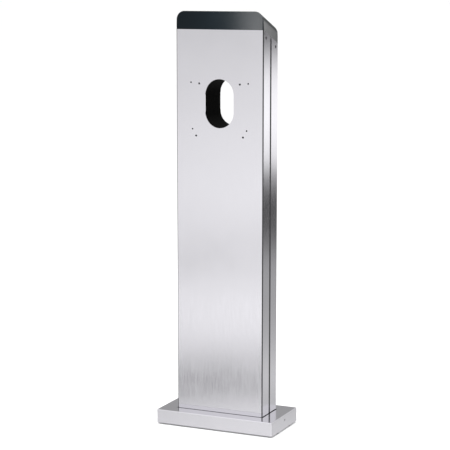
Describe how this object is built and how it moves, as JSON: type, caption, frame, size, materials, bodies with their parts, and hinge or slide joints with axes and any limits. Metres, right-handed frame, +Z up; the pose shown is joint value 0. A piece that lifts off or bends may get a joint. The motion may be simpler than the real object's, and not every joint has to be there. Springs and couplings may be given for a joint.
{
  "type": "equipment pedestal",
  "caption": "Free-standing brushed stainless pedestal for a ticket or card unit: folded column with an oval through aperture, device holes, a sloped dark cap and a low plinth cover.",
  "frame": {"origin": "on the floor, under the middle of the plinth", "axes": "+Z up, +X to the right seen from the front, the front face towards -Y"},
  "size_m": [0.408, 0.21, 1.335],
  "materials": {
    "brushed_stainless": "fine vertical grain, satin",
    "structural_steel": "galvanised sheet, dull",
    "zinc_plated_steel": "bright zinc plate",
    "black_screws": "blackened steel",
    "anthracite_cap": "satin moulded anthracite",
    "black_plastic": "black, slightly glossy",
    "black_rubber": "matt",
    "grey_terminals": "light grey polyamide",
    "green_terminal": "green polyamide",
    "brass_earth": "plain brass"
  },
  "bodies": {
    "column": {"base_plate": "structural_steel", "left_post": "structural_steel", "right_post": "structural_steel", "top_tie": "structural_steel", "cover_brackets": "structural_steel", "front_shell": "brushed_stainless", "rear_shell": "brushed_stainless", "left_seam_gasket": "black_rubber", "right_seam_gasket": "black_rubber", "seam_lugs": "brushed_stainless", "shell_spacers": "zinc_plated_steel", "shell_screws": "black_screws", "cap_screws": "black_screws", "cap_nuts": "zinc_plated_steel", "front_tunnel": "black_plastic", "rear_tunnel": "black_plastic", "device_backing_plate": "structural_steel", "large_weld_nuts": "zinc_plated_steel", "small_weld_nuts": "zinc_plated_steel", "cable_grommet": "black_rubber", "earth_stud": "brass_earth", "earth_washer": "brass_earth", "earth_nut": "brass_earth", "terminal_rail": "zinc_plated_steel", "terminal_blocks": "grey_terminals", "earth_terminal": "green_terminal", "rail_end_stops": "grey_terminals", "strain_relief_bar": "zinc_plated_steel", "cable_saddles": "black_plastic", "saddle_screws": "zinc_plated_steel", "rail_screws": "zinc_plated_steel", "foot_lock_nuts": "zinc_plated_steel"},
    "cap": {"cap": "anthracite_cap"},
    "plinth_cover": {"plinth_cover": "brushed_stainless", "cover_nuts": "zinc_plated_steel", "cover_grub_screws": "black_screws"},
    "front_left_foot": {"front_left_pad": "black_rubber", "front_left_stud": "zinc_plated_steel"},
    "front_right_foot": {"front_right_pad": "black_rubber", "front_right_stud": "zinc_plated_steel"},
    "rear_left_foot": {"rear_left_pad": "black_rubber", "rear_left_stud": "zinc_plated_steel"},
    "rear_right_foot": {"rear_right_pad": "black_rubber", "rear_right_stud": "zinc_plated_steel"}
  },
  "joints": [
    {"name": "cap_lift", "type": "slide", "parent": "column", "child": "cap", "axis": [0, 0, 1], "range_m": [0, 0.08]},
    {"name": "plinth_cover_lift", "type": "slide", "parent": "column", "child": "plinth_cover", "axis": [0, 0, 1], "range_m": [0, 0.15]},
    {"name": "front_left_foot_level", "type": "slide", "parent": "column", "child": "front_left_foot", "axis": [0, 0, -1], "range_m": [0, 0.008]},
    {"name": "front_right_foot_level", "type": "slide", "parent": "column", "child": "front_right_foot", "axis": [0, 0, -1], "range_m": [0, 0.008]},
    {"name": "rear_left_foot_level", "type": "slide", "parent": "column", "child": "rear_left_foot", "axis": [0, 0, -1], "range_m": [0, 0.008]},
    {"name": "rear_right_foot_level", "type": "slide", "parent": "column", "child": "rear_right_foot", "axis": [0, 0, -1], "range_m": [0, 0.008]}
  ]
}
